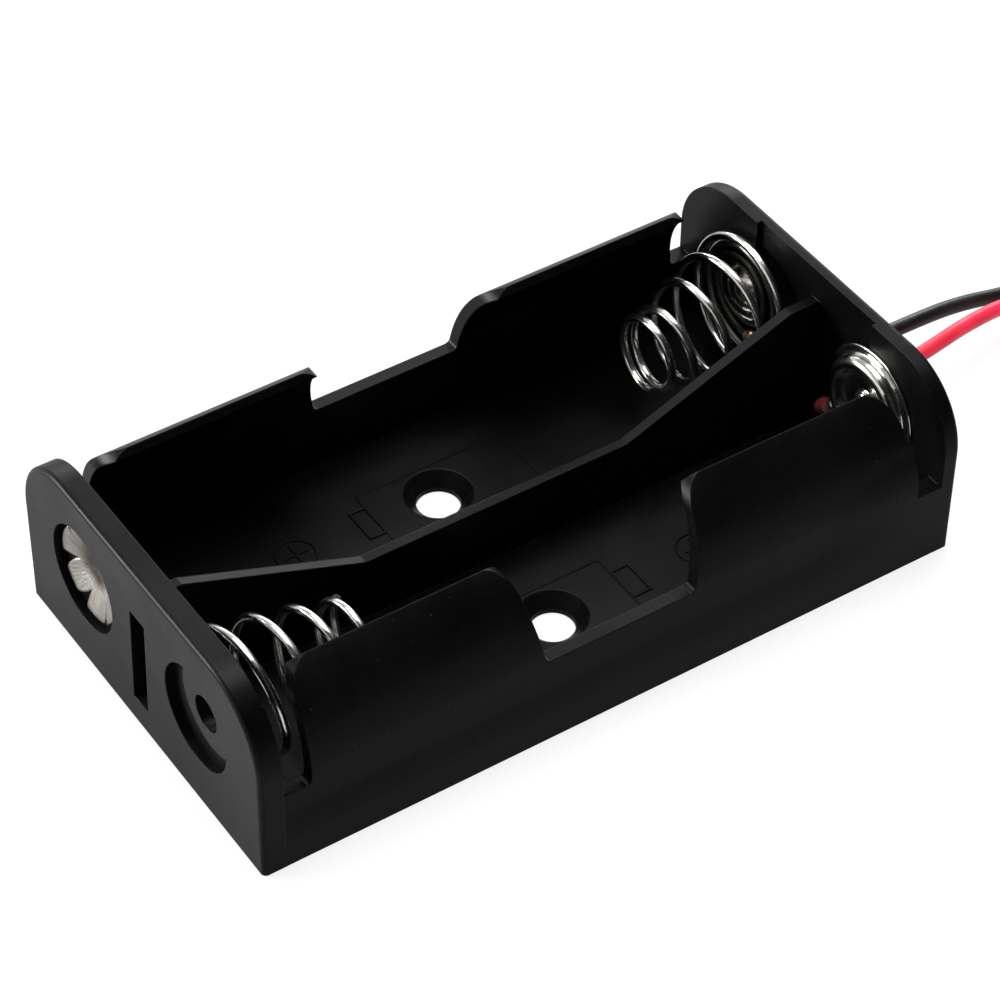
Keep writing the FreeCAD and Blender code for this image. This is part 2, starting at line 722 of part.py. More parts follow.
def tube(route, radius, label, share=0.45):
    """Round tube along straight runs joined by tangent arcs, each as large as its runs allow."""
    edges = []
    reached = route[0]
    length = 0.0
    radii = []
    for index in range(1, len(route) - 1):
        before, corner, after = route[index - 1], route[index], route[index + 1]
        way_in = (corner - before).normalize()
        way_out = (after - corner).normalize()
        half_turn = way_in.getAngle(way_out) / 2
        shorter = min(corner.distanceToPoint(before), corner.distanceToPoint(after))
        setback = share * shorter
        bend = setback / math.tan(half_turn)
        radii.append(bend)
        first = corner - way_in * setback
        last = corner + way_out * setback
        inward = (way_out - way_in).normalize()
        middle = corner + inward * (bend / math.cos(half_turn) - bend)
        edges.append(Part.LineSegment(reached, first).toShape())
        edges.append(Part.Arc(first, middle, last).toShape())
        length += reached.distanceToPoint(first) + 2 * half_turn * bend
        reached = last
    edges.append(Part.LineSegment(reached, route[-1]).toShape())
    length += reached.distanceToPoint(route[-1])
    spine = Part.Wire(edges)
    heading = (route[1] - route[0]).normalize()
    section = Part.Wire([Part.Circle(route[0], heading, radius).toShape()])
    solid = spine.makePipeShell([section], True, False)
    expected = math.pi * radius * radius * length
    print("%s: length %.1f, radii %s, volume %.2f of %.2f" % (
        label, length, " ".join("%.1f" % r for r in radii), solid.Volume, expected))
    if abs(solid.Volume / expected - 1) > 0.01:
        raise SystemExit(label + " does not have its section's volume")
    return solid


def make_lead(colour, across, route_points, side):
    """Free part of a lead: its tube, its put-away coil and its bare end."""
    radius, mean = size("lead_radius"), size("coil_mean_radius")
    wall = half_length.value
    route = [Vector(wall, across, size("lead_height"))]
    route += [Vector(wall + x, y, z) for x, y, z in route_points]
    last = route[-1]
    heading = last - route[-2]
    heading.z = 0
    heading.normalize()
    # The coil starts with a straight piece in line with the end of the tube.
    arrive = last + heading * size("coil_lead_in")
    outer = mean + radius
    sideways = Vector(-heading.y, heading.x, 0) * side
    centre = arrive + sideways * outer
    centre.z = 0
    plain(colour + "_lead", tube(route, radius, colour + " lead"))

    high = 2 * radius
    ring = Part.makeCylinder(outer + radius, high, centre).cut(
        Part.makeCylinder(mean - 2 * radius, high, centre))
    entry = Part.makeCylinder(radius, size("coil_lead_in"), last, heading)
    # The last part of the wire lies on top of the two turns, from +X round the coil's own way.
    sweep = math.radians(size("coil_top_sweep"))
    above = Part.Circle(centre + Vector(0, 0, radius + radius * math.sqrt(3)), Vector(0, 0, 1), mean)
    first, end = (0.0, sweep) if side > 0 else (-sweep, -sweep)
    arc = Part.ArcOfCircle(above, first, first + sweep).toShape()
    section = Part.Wire([Part.Circle(above.value(first), above.tangent(first)[0], radius).toShape()])
    top = Part.Wire([arc]).makePipeShell([section], True, False)
    plain(colour + "_lead_coil", ring.fuse([entry, top]).removeSplitter())

    tip_way = above.tangent(end)[0] * side
    bare = Part.makeCylinder(size("bare_end_radius"), size("bare_end_length"), above.value(end), tip_way)
    plain(colour + "_lead_tip", bare)


def make_entry(colour, across, joint):
    """Part of a lead inside the holder: insulated elbow behind the hole, then its bare strands."""
    inside = recess_face.value - size("elbow_setback")
    corner = Vector(inside, across, size("lead_height"))
    way = Vector(0, joint.y - corner.y, joint.z - corner.z)
    stub_end = corner + way * (size("stub_length") / way.Length)
    route = [Vector(half_length.value, corner.y, corner.z), corner, stub_end]
    plain(colour + "_lead_entry", tube(route, size("lead_radius"), colour + " entry", 0.55))
    # The strands leave in line with the insulation, then soon lie down behind the metal.
    eased = stub_end + way * (size("strand_lead_in") / way.Length)
    over = eased + (joint - eased) * 0.25
    settled = Vector(joint.x, over.y, over.z)
    bare = [stub_end, eased, settled, joint]
    return plain(colour + "_strands", tube(bare, size("strand_radius"), colour + " strands"))


def make_solder(label, centre, back, others):
    """Blob of solder in front of a plane, hollowed where the other metal lies in it."""
    reach = 4 * size("solder_radius")
    corner = Vector(back - reach, centre.y - reach / 2, centre.z - reach / 2)
    blob = Part.makeSphere(size("solder_radius"), centre)
    blob = blob.common(Part.makeBox(reach, reach, reach, corner))
    return plain(label, blob.cut(others))


housing = make_housing()
series_button = make_button("series_button")
series_button.Placement.Rotation = Rotation(Vector(0, 1, 0), 90)
place_bound(series_button, x=seat_floor, y=seat_pitch, z=seat_height)
positive_button = make_button("positive_button")
positive_button.Placement.Rotation = Rotation(Vector(0, 1, 0), -90)
button_back = lead_face + cell("rivet_grip") + cell("flare_thickness")
place_bound(positive_button, x=button_back, y=-seat_pitch, z=seat_height)
doc.recompute()
make_series_spring()
make_negative_spring()
make_negative_rivet()

# The black lead's bare end stops at the solder round the spring's wire, the red one's lies on
# the rivet's brim under its solder.
hugging = size("strand_radius") + size("wire_gap")
wetted = snail_point(1.44, lead_face.value - size("wire_radius") - size("wire_gap"))
reach = wetted - Vector(wetted.x, size("black_exit"), size("lead_height"))
black_joint = wetted - reach.normalize() * (size("solder_radius") * 0.86)
black_joint.x = recess_face.value - hugging
make_entry("black", size("black_exit"), black_joint)
along = snail_point(1.45, wetted.x) - snail_point(1.43, wetted.x)
along.normalize()
wire_room = size("wire_radius") + 3 * size("wire_gap")
wire_place = Part.makeCylinder(wire_room, 3.0, wetted - along * 1.5, along)
make_solder("negative_solder", wetted, recess_face.value, [wire_place])

brim = lead_face.value - size("brim_thickness")
rim = math.radians(size("red_joint_angle"))
red_joint = on_circle(brim - hugging, -seat_pitch.value, seat_height.value, size("crown_radius") + hugging, rim)
red_strands = make_entry("red", -size("red_exit"), red_joint)
make_solder("positive_solder", red_joint, brim, [positive_button.Shape, red_strands.Shape])

make_lead("black", size("black_exit"), BLACK_ROUTE, 1)
make_lead("red", -size("red_exit"), RED_ROUTE, -1)
doc.recompute()

os.makedirs("parts", exist_ok=True)
pieces = [o for o in doc.Objects if o.TypeId in ("PartDesign::Body", "Part::Feature")]
for item in doc.Objects:
    if "Invalid" in item.State or "Error" in item.State:
        raise SystemExit("%s failed: %s" % (item.Name, item.State))
for piece in pieces:
    if piece.Shape.isNull() or not piece.Shape.isValid():
        raise SystemExit(piece.Label + " has no valid shape")
    if len(piece.Shape.Solids) != 1:
        raise SystemExit("%s has %d solids" % (piece.Label, len(piece.Shape.Solids)))
for piece in pieces:
    piece.Shape.exportStep(os.path.join("parts", piece.Label + ".step"))
    box = piece.Shape.BoundBox
    print("%-20s volume %9.3f  x %.2f %.2f  y %.2f %.2f  z %.2f %.2f" % (
        piece.Label, piece.Shape.Volume, box.XMin, box.XMax, box.YMin, box.YMax, box.ZMin, box.ZMax))
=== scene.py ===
import math

import bmesh
import bpy
from mathutils import Euler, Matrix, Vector


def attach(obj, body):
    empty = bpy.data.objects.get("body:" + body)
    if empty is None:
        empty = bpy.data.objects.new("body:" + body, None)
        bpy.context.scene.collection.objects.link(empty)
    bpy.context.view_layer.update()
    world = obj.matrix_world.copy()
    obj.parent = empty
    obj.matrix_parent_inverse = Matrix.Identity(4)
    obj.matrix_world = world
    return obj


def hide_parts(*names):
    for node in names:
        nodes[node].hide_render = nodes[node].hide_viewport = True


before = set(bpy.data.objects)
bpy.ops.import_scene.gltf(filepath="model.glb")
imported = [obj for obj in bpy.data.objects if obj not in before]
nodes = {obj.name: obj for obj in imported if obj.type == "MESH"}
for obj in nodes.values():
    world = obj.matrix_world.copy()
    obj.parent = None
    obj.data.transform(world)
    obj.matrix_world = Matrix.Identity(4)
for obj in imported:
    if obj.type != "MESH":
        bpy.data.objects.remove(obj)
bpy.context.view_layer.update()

MM = 0.001
scene = bpy.context.scene


def at(*millimetres):
    return Vector(millimetres) * MM


# Camera

view = bpy.data.cameras.new("camera")
view.sensor_width = 36.0
view.lens = 129.92
view.clip_start = 0.01
view.clip_end = 20.0
camera = bpy.data.objects.new("camera", view)
camera.location = at(-102.637, -152.402, 182.487)
camera.rotation_euler = Euler([math.radians(a) for a in (46.2630, -0.5441, -33.5397)])
scene.collection.objects.link(camera)
scene.camera = camera


# Cords: one smooth spline each, from the hole in the wall to the bare end of its put-away coil

LEAD_RADIUS = 0.6
POINTS_PER_TURN = 18
# Put-away coil: radius of the outer turn, the inner turn and the last part over them, and the
# heights at which the last part climbs over the step and then lies.
OUTER_TURN = 7.2
INNER_TURN = 6.0
LAST_TURN = 6.6
OVER_STEP = 1.83
ON_TOP = 1.64
# Degrees that each coil turns before its lead's last bend is added.
COIL_SWEEP = 845.0
BLACK_POINTS = [
    (28.75, 1.6, 3.8), (33.0, 1.6, 3.8), (38.5, 1.75, 3.65), (44.0, 2.45, 2.6),
    (49.5, 2.25, 1.3), (55.0, 2.4, 0.6), (61.0, 3.1, 0.6)]
RED_POINTS = [
    (28.75, -2.2, 3.8), (33.0, -2.2, 3.8), (37.5, -1.75, 3.95), (42.2, -0.75, 3.7),
    (47.0, 0.2, 2.8), (52.0, 0.3, 1.3), (57.0, -0.35, 0.6), (61.0, -1.4, 0.6)]


def ease(share):
    share = min(1.0, max(0.0, share))
    return share * share * (3.0 - 2.0 * share)


def between(start, end, share):
    return start + (end - start) * share


def coil_points(centre, start, side, sweep):
    """Two flat turns side by side, then the last part over the step between them and on top."""
    points = []
    step = 360.0 / POINTS_PER_TURN
    # A quadratic spline runs inside its control points by this share of the radius.
    outward = 1.0 / math.cos(math.pi / POINTS_PER_TURN)
    count = round(sweep / step)
    for index in range(1, count + 1):
        turned = sweep * index / count
        radius = between(OUTER_TURN, INNER_TURN, ease((turned - 285.0) / 70.0))
        radius = between(radius, LAST_TURN, ease((turned - 660.0) / 80.0))
        height = between(LEAD_RADIUS, OVER_STEP, ease((turned - 600.0) / 55.0))
        height = between(height, ON_TOP, ease((turned - 730.0) / 60.0))
        angle = math.radians(start + side * turned)
        reach = radius * outward
        points.append((centre[0] + reach * math.cos(angle), centre[1] + reach * math.sin(angle), height))
    return points


def curve_object(name, points, radius):
    """Round tube along one open spline whose control points are given in millimetres."""
    data = bpy.data.curves.new(name, "CURVE")
    data.dimensions = "3D"
    # The thickness is in the points' radius, which is also what the curve's box grows by.
    data.bevel_depth = 1.0
    data.bevel_resolution = 6
    data.resolution_u = 6
    data.use_fill_caps = True
    spline = data.splines.new("NURBS")
    spline.points.add(len(points) - 1)
    for place, point in zip(spline.points, points):
        place.co = (point[0] * MM, point[1] * MM, point[2] * MM, 1.0)
        place.radius = radius * MM
    spline.order_u = 3
    spline.use_endpoint_u = True
    spline.use_smooth = True
    made = bpy.data.objects.new(name, data)
    scene.collection.objects.link(made)
    return made


def make_cord(colour, route, arrive, centre, side, sweep):
    """Cord along its route, then to where it arrives at the coil about a centre, and round that."""
    start = math.degrees(math.atan2(arrive[1] - centre[1], arrive[0] - centre[0]))
    points = route + [(arrive[0], arrive[1], LEAD_RADIUS)] + coil_points(centre, start, side, sweep)
    cord = curve_object(colour + "_cord", points, LEAD_RADIUS)
    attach(cord, "root")
    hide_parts(colour + "_lead", colour + "_lead_coil")
    return cord


black_cord = make_cord("black", BLACK_POINTS, (66.96, 3.80), (66.13, 10.95), 1, COIL_SWEEP + 83.4)
red_cord = make_cord("red", RED_POINTS, (66.80, -2.92), (64.97, -9.89), -1, COIL_SWEEP + 75.3)


# Materials

class Shader:
    """A node material with short calls for the nodes that the looks below are made of."""

    def __init__(self, name):
        self.material = bpy.data.materials.new(name)
        self.material.use_nodes = True
        self.tree = self.material.node_tree
        self.surface = self.tree.nodes["Principled BSDF"]
        self.place = self.tree.nodes.new("ShaderNodeTexCoord").outputs["Object"]

    def node(self, kind, **settings):
        made = self.tree.nodes.new(kind)
        for key, value in settings.items():
            setattr(made, key, value)
        return made

    def link(self, source, socket):
        self.tree.links.new(source, socket)

    def set(self, **values):
        for key, value in values.items():
            self.surface.inputs[key.replace("_", " ")].default_value = value

    def stretched(self, scale):
        """Object coordinates scaled unevenly, for marks that run one way."""
        mapping = self.node("ShaderNodeMapping")
        mapping.inputs["Scale"].default_value = scale
        self.link(self.place, mapping.inputs["Vector"])
        return mapping.outputs["Vector"]

    def noise(self, scale, detail=3.0, rough=0.5, place=None, distort=0.0):
        made = self.node("ShaderNodeTexNoise")
        self.link(place or self.place, made.inputs["Vector"])
        made.inputs["Scale"].default_value = scale
        made.inputs["Detail"].default_value = detail
        made.inputs["Roughness"].default_value = rough
        made.inputs["Distortion"].default_value = distort
        return made.outputs["Fac"]

    def ramp(self, source, low, high, start, end):
        """source from low to high, mapped to start to end."""
        made = self.node("ShaderNodeMapRange", interpolation_type="SMOOTHSTEP")
        self.link(source, made.inputs["Value"])
        for key, value in (("From Min", low), ("From Max", high), ("To Min", start), ("To Max", end)):
            made.inputs[key].default_value = value
        return made.outputs["Result"]

    def mix(self, share, first, second):
        """Colour between two others; each may be a value or another node's output."""
        made = self.node("ShaderNodeMix", data_type="RGBA")
        for key, value in (("Factor", share), ("A", first), ("B", second)):
            socket = [s for s in made.inputs if s.name == key and s.enabled][0]
            if hasattr(value, "is_output"):
                self.link(value, socket)
            elif key == "Factor":
                socket.default_value = value
            else:
                socket.default_value = (*value, 1.0)
        return [s for s in made.outputs if s.enabled][0]

    def math(self, operation, first, second=0.0):
        """Sum on two numbers; each may be a value or another node's output."""
        made = self.node("ShaderNodeMath", operation=operation)
        for socket, value in zip(made.inputs, (first, second)):
            if hasattr(value, "is_output"):
                self.link(value, socket)
            else:
                socket.default_value = value
        return made.outputs["Value"]

    def bump(self, height, distance, strength=1.0, under=None):
        made = self.node("ShaderNodeBump")
        made.inputs["Distance"].default_value = distance
        made.inputs["Strength"].default_value = strength
        self.link(height, made.inputs["Height"])
        if under is not None:
            self.link(under, made.inputs["Normal"])
        return made.outputs["Normal"]

    def colour(self, source):
        self.link(source, self.surface.inputs["Base Color"])

    def roughness(self, source):
        self.link(source, self.surface.inputs["Roughness"])

    def normal(self, source):
        self.link(source, self.surface.inputs["Normal"])


EDGE_RADIUS = 0.00016
# Axis of the far bay's spring, across and up, in metres.
SPRING_AXIS = (0.00705, 0.00785)


def make_plastic(name, bevelled):
    """Black moulded plastic: fine spark texture, faint flow marks, a duller bloom here and there.

    The moulding's edges are rounded in the look; the skins on it, which end inside the walls, aren't.
    """
    s = Shader(name)
    patches = s.noise(90.0, 4.0, 0.6, distort=0.4)
    skin = s.mix(s.ramp(patches, 0.35, 0.7, 0.0, 1.0), (0.0014, 0.0014, 0.0015), (0.0026, 0.0025, 0.0024))
    dust = s.ramp(s.noise(5200.0, 0.0), 0.83, 0.88, 0.0, 1.0)
    s.colour(s.mix(dust, skin, (0.022, 0.022, 0.022)))
    s.roughness(s.ramp(patches, 0.3, 0.72, 0.32, 0.42))
    flow = s.noise(260.0, 3.0, 0.6, place=s.stretched((0.18, 1.0, 1.0)))
    grain = s.noise(5200.0, 3.0, 0.65)
    rounded = None
    if bevelled:
        edge = s.node("ShaderNodeBevel", samples=6)
        edge.inputs["Radius"].default_value = EDGE_RADIUS
        rounded = edge.outputs["Normal"]
    s.normal(s.bump(grain, 0.00002, 0.5, s.bump(flow, 0.00006, 0.5, rounded)))
    s.set(IOR=1.5, Specular_IOR_Level=0.075)
    return s.material


def make_plate(name, tint, stain_and_shade_tone):
    """Nickel plate on a pressed or turned contact, with fine tool rings and handling marks."""
    s = Shader(name)
    stain = s.noise(420.0, 4.0, 0.6, distort=0.4)
    fine = s.noise(6000.0, 3.0, 0.6)
    s.colour(s.mix(s.ramp(stain, 0.45, 0.8, 0.0, 1.0), tint, stain_and_shade_tone))
    s.roughness(s.ramp(stain, 0.35, 0.75, 0.13, 0.19))
    s.normal(s.bump(fine, 0.000003, 0.3))
    s.set(Metallic=1.0)
    return s.material


def make_flare(tint, stain_and_shade_tone):
    """Plate of a rivet's rolled end, streaked outwards, with painted shade in dark brown down in its
    funnel.
    """
    s = Shader("rivet_flare")
    split = s.node("ShaderNodeSeparateXYZ")
    s.link(s.place, split.inputs["Vector"])
    across = s.math("MULTIPLY", split.outputs["Y"], split.outputs["Y"])
    up = s.math("MULTIPLY", split.outputs["Z"], split.outputs["Z"])
    radius = s.math("SQRT", s.math("ADD", across, up))
    stain = s.noise(900.0, 4.0, 0.6, distort=0.5)
    reach = s.math("ADD", radius, s.math("MULTIPLY", stain, 0.0009))
    # Painted shade: the dark brown sits in the upper part of the funnel, which faces down, so the
    # distance grows downwards.
    reach = s.math("SUBTRACT", reach, s.math("MULTIPLY", split.outputs["Z"], 0.38))
    angle = s.math("MULTIPLY", s.math("ARCTAN2", split.outputs["Z"], split.outputs["Y"]), 0.004)
    streaks = s.node("ShaderNodeCombineXYZ")
    s.link(angle, streaks.inputs["X"])
    s.link(s.math("MULTIPLY", radius, 0.12), streaks.inputs["Y"])
    lines = s.noise(5200.0, 3.0, 0.6, place=streaks.outputs["Vector"])
    worn = s.mix(s.ramp(lines, 0.42, 0.66, 0.0, 1.0), tint, tuple(0.62 * c for c in tint))
    s.colour(s.mix(s.ramp(reach, 0.0012, 0.0028, 0.0, 1.0), stain_and_shade_tone, worn))
    s.roughness(s.ramp(reach, 0.0012, 0.0034, 0.4, 0.36))
    s.normal(s.bump(lines, 0.00006, 0.8, s.bump(stain, 0.0001, 0.6)))
    s.set(Metallic=1.0)
    return s.material


def make_wire(name, shade_inner_turns):
    """Bright nickelled spring wire with drawing marks along it."""
    s = Shader(name)
    stain = s.noise(900.0, 4.0, 0.6)
    marks = s.noise(7000.0, 2.0, 0.5)
    metal = s.mix(s.ramp(stain, 0.45, 0.8, 0.0, 1.0), (0.60, 0.59, 0.575), (0.40, 0.385, 0.36))
    s.colour(metal)
    s.roughness(s.ramp(marks, 0.3, 0.7, 0.15, 0.22))
    s.normal(s.bump(marks, 0.000003, 0.3))
    s.set(Metallic=1.0)
    if not shade_inner_turns:
        return s.material
    # Painted shade: the inner turns at the wall, deep in the coil, are darkened and made rougher,
    # standing in for the shade there.
    split = s.node("ShaderNodeSeparateXYZ")
    s.link(s.place, split.inputs["Vector"])
    across = s.math("POWER", s.math("SUBTRACT", split.outputs["Y"], SPRING_AXIS[0]), 2.0)
    up = s.math("POWER", s.math("SUBTRACT", split.outputs["Z"], SPRING_AXIS[1]), 2.0)
    radius = s.math("SQRT", s.math("ADD", across, up))
    deep = s.math("MULTIPLY", s.ramp(split.outputs["X"], 0.0240, 0.0252, 0.0, 1.0),
                  s.ramp(radius, 0.0041, 0.0048, 1.0, 0.0))
    s.colour(s.mix(deep, metal, (0.07, 0.065, 0.058)))
    s.roughness(s.ramp(deep, 0.0, 1.0, 0.18, 0.42))
    return s.material


def make_solder_material():
    """Solder gone slightly grey, with brown flux left round its foot."""
    s = Shader("solder")
    flux = s.noise(1100.0, 3.0, 0.5, distort=0.3)
    skin = s.noise(3000.0, 3.0, 0.6)
    s.colour(s.mix(s.ramp(flux, 0.45, 0.6, 0.0, 1.0), (0.66, 0.64, 0.61), (0.30, 0.12, 0.04)))
    s.roughness(s.ramp(skin, 0.3, 0.7, 0.2, 0.42))
    s.normal(s.bump(skin, 0.00004, 0.5))
    s.set(Metallic=1.0)
    return s.material


def make_copper():
    """Tinned copper strands, with the copper showing through in places."""
    s = Shader("copper_strands")
    worn = s.noise(1600.0, 3.0, 0.5)
    twist = s.noise(5000.0, 2.0, 0.5)
    s.colour(s.mix(s.ramp(worn, 0.4, 0.6, 0.0, 1.0), (0.70, 0.36, 0.20), (0.62, 0.52, 0.42)))
    s.roughness(s.ramp(twist, 0.3, 0.7, 0.22, 0.4))
    s.normal(s.bump(twist, 0.00005, 0.6))
    s.set(Metallic=1.0)
    return s.material


def make_insulation(name, light, deep, rough):
    """Extruded insulation: faint long ripples, fine dust and a soft sheen."""
    s = Shader(name)
    ripple = s.noise(420.0, 3.0, 0.55)
    fine = s.noise(8000.0, 2.0, 0.5)
    s.colour(s.mix(s.ramp(ripple, 0.35, 0.7, 0.0, 1.0), light, deep))
    s.roughness(s.ramp(ripple, 0.3, 0.7, rough - 0.05, rough + 0.07))
    s.normal(s.bump(fine, 0.000012, 0.4, s.bump(ripple, 0.00007, 0.4)))
    s.set(IOR=1.5, Specular_IOR_Level=0.3)
    return s.material


PLASTIC = make_plastic("moulded_black", True)
PLASTIC_SKIN = make_plastic("moulded_black_skin", False)
PLATE = make_plate("contact_plate", (0.66, 0.645, 0.62), (0.48, 0.45, 0.41))
# The flare's second colour is the painted shade down in its funnel.
FLARE = make_flare((0.285, 0.272, 0.248), (0.036, 0.028, 0.020))
WIRE = make_wire("spring_wire", False)
# The far spring's wire has painted shade on its inner turns at the wall.
SHADED_INNER_WIRE = make_wire("spring_wire_painted_shade", True)
SOLDER = make_solder_material()
COPPER = make_copper()
BLACK_SKIN = make_insulation("black_insulation", (0.006, 0.006, 0.0065), (0.011, 0.011, 0.011), 0.36)
RED_SKIN = make_insulation("red_insulation", (0.72, 0.022, 0.062), (0.60, 0.014, 0.040), 0.34)
# A darker, browner red for the lead's entry stub.
RED_ENTRY_DARKER = make_insulation("red_insulation_entry_darker", (0.22, 0.022, 0.024), (0.085, 0.04, 0.03), 0.44)

FINISHES = {
    "housing": PLASTIC,
    "negative_rivet": PLATE,
    "series_spring": WIRE,
    "negative_spring": SHADED_INNER_WIRE,
    "negative_solder": SOLDER,
    "positive_solder": SOLDER,
    "black_strands": COPPER,
    "red_strands": COPPER,
    "black_lead_tip": COPPER,
    "red_lead_tip": COPPER,
    "black_lead_entry": BLACK_SKIN,
    "red_lead_entry": RED_ENTRY_DARKER,
}


def finish_with(item, material):
    """Gives a piece its material, in the slots that it has."""
    slots = item.material_slots
    if not slots:
        item.data.materials.append(material)
    for slot in slots:
        slot.material = material


for name, material in FINISHES.items():
    finish_with(nodes[name], material)
finish_with(black_cord, BLACK_SKIN)
finish_with(red_cord, RED_SKIN)


# Marks moulded in the tray's floor: a plus sign in a ring and the outline of each cell

FLOOR_TOP = 1.4
# Width and height of the ridges.
FINE = (0.15, 0.06)
BOLD = (0.24, 0.12)
# Plus sign: radius of its ring and half the length of its strokes.
PLUS_RING = 1.5
PLUS_REACH = 0.95


def ridge(mesh, line, size, closed=False):
    """Low ridge with sloping sides along a line on the floor."""
    count = len(line)
    rings = []
    for index in range(count):
        before = line[(index - 1) % count] if closed or index > 0 else line[index]
        after = line[(index + 1) % count] if closed or index < count - 1 else line[index]
        here = Vector(line[index])
        into = (here - Vector(before)).normalized() if before != line[index] else None
        out = (Vector(after) - here).normalized() if after != line[index] else None
        into = into or out
        out = out or into
        along = (into + out).normalized()
        side = Vector((-along.y, along.x)) / max(0.3, along.dot(out))
        ring = []
        width, height = size
        # The foot is sunk a little in the floor.
        for across, up in ((-0.5, -0.02), (-0.28, height), (0.28, height), (0.5, -0.02)):
            spot = here + side * across * width
            ring.append(mesh.verts.new(at(spot.x, spot.y, FLOOR_TOP + up)))
        rings.append(ring)
    for first, second in zip(rings, rings[1:] + ([rings[0]] if closed else [])):
        for low, high in ((0, 1), (1, 2), (2, 3), (3, 0)):
            mesh.faces.new((first[low], first[high], second[high], second[low]))
    if not closed:
        mesh.faces.new(rings[0][::-1])
        mesh.faces.new(rings[-1])


def ring_line(x, y, radius, count=40):
    turns = [2 * math.pi * i / count for i in range(count)]
    return [(x + radius * math.cos(turn), y + radius * math.sin(turn)) for turn in turns]


def add_to_tray(name, mesh):
    """Makes a mesh into a piece of the moulding."""
    bmesh.ops.recalc_face_normals(mesh, faces=mesh.faces)
    data = bpy.data.meshes.new(name)
    mesh.to_mesh(data)
    mesh.free()
    made = bpy.data.objects.new(name, data)
    scene.collection.objects.link(made)
    finish_with(made, PLASTIC)
    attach(made, "root")


def mark_bay(name, plus, body, nub):
    """The moulded symbols of one bay, as one piece: plus sign, cell's body and its nub."""
    mesh = bmesh.new()
    x, y = plus
    ridge(mesh, ring_line(x, y, PLUS_RING), BOLD, True)
    ridge(mesh, [(x - PLUS_REACH, y), (x + PLUS_REACH, y)], BOLD)
    ridge(mesh, [(x, y - PLUS_REACH), (x, y + PLUS_REACH)], BOLD)
    for (x0, y0, x1, y1), size in ((body, FINE), (nub, BOLD)):
        ridge(mesh, [(x0, y0), (x1, y0), (x1, y1), (x0, y1)], size, True)
    add_to_tray(name, mesh)


mark_bay("far_bay_marks", (-12.0, 7.57), (-5.35, 4.6, 7.2, 10.3), (-6.65, 6.05, -5.35, 8.98))
mark_bay("near_bay_marks", (12.45, -7.4), (-6.8, -10.2, 5.75, -4.6), (5.8, -9.0, 7.3, -6.15))


# Rivet buttons: crown with its nipple inside, notched funnel of the rolled end outside

SEAT_HEIGHT = 8.2
SEAT_ACROSS = 7.6
ROUND = 96
# Notches of the flare: angle of the tip, angle at the rim, half the rim's opening, radius of the tip.
NOTCHES = [
    (-142.0, -124.0, 3.5, 2.35),
    (-78.0, -68.0, 12.0, 1.95),
    (-4.0, -17.5, 12.0, 1.95),
    (43.0, 49.0, 3.2, 2.6),
    (105.0, 103.0, 7.0, 2.0),
    (165.0, 163.0, 6.0, 2.2),
]
# Funnel, from its floor to the rim: radius and depth behind the flare's outer face.
FUNNEL = [
    (0.4, 0.735), (0.8, 0.70), (1.15, 0.63), (1.5, 0.54), (1.85, 0.43), (2.15, 0.335), (2.4, 0.26),
    (2.65, 0.185), (2.9, 0.12), (3.15, 0.06), (3.35, 0.025), (3.55, 0.02), (3.66, 0.04)]
# Place of the funnel's middle, in shares of its depth.
FUNNEL_MIDDLE = 0.75
PETAL_COLUMNS = 14
FLARE_PLATE = 0.2
WELD = 0.000002


def dome(reach, low, high, count=6):
    """Profile of a round cap from its edge to the axis."""
    return [(reach * math.cos(t), low + (high - low) * math.sin(t))
            for t in (math.pi / 2 * i / count for i in range(count + 1))]


def add_turned(mesh, profile, spot, index):
    """Surface turned about the rivet's axis, closed on the axis at both ends."""
    rings = []
    for radius, along in profile:
        if radius < 0.001:
            rings.append([mesh.verts.new(spot(0.0, 0.0, along))])
            continue
        rings.append([mesh.verts.new(spot(radius, 2 * math.pi * i / ROUND, along)) for i in range(ROUND)])
    for first, second in zip(rings, rings[1:]):
        for i in range(ROUND):
            j = (i + 1) % ROUND
            if len(first) == 1:
                corners = (first[0], second[j], second[i])
            elif len(second) == 1:
                corners = (first[i], first[j], second[0])
            else:
                corners = (first[i], first[j], second[j], second[i])
            face = mesh.faces.new(corners)
            face.material_index = index
            face.smooth = True


def border(notch, side, radius):
    """Angle of one side of a notch at a radius; the sides meet at its tip."""
    tip, rim, half, start = notch
    share = min(1.0, max(0.0, (radius - start) / (FUNNEL[-1][0] - start)))
    return tip + (rim + side * half - tip) * share


def add_petals(mesh, spot, index, face_at, depth):
    """Notched funnel with a plate's thickness, as one closed shell."""
    for layer in (0.0, FLARE_PLATE):
        centre = mesh.verts.new(spot(0.0, 0.0, face_at + FUNNEL_MIDDLE * depth + layer))
        for number, notch in enumerate(NOTCHES):
            after = NOTCHES[(number + 1) % len(NOTCHES)]
            lap = 360.0 if number == len(NOTCHES) - 1 else 0.0
            rows = []
            for radius, behind in FUNNEL:
                low = border(notch, 1, radius)
                high = border(after, -1, radius) + lap
                row = []
                for step in range(PETAL_COLUMNS + 1):
                    share = step / PETAL_COLUMNS
                    angle = math.radians(between(low, high, share))
                    row.append(mesh.verts.new(spot(radius, angle, face_at + behind * depth + layer)))
                rows.append(row)
            faces = []
            for first, second in zip(rows, rows[1:]):
                for i in range(PETAL_COLUMNS):
                    faces.append(mesh.faces.new((first[i], first[i + 1], second[i + 1], second[i])))
            for i in range(PETAL_COLUMNS):
                faces.append(mesh.faces.new((centre, rows[0][i + 1], rows[0][i])))
            for face in faces:
                face.material_index = index
                face.smooth = True
    bmesh.ops.remove_doubles(mesh, verts=mesh.verts, dist=WELD)
    rims = [e for e in mesh.edges if e.is_boundary]
    made = bmesh.ops.bridge_loops(mesh, edges=rims)
    for face in made["faces"]:
        face.material_index = index


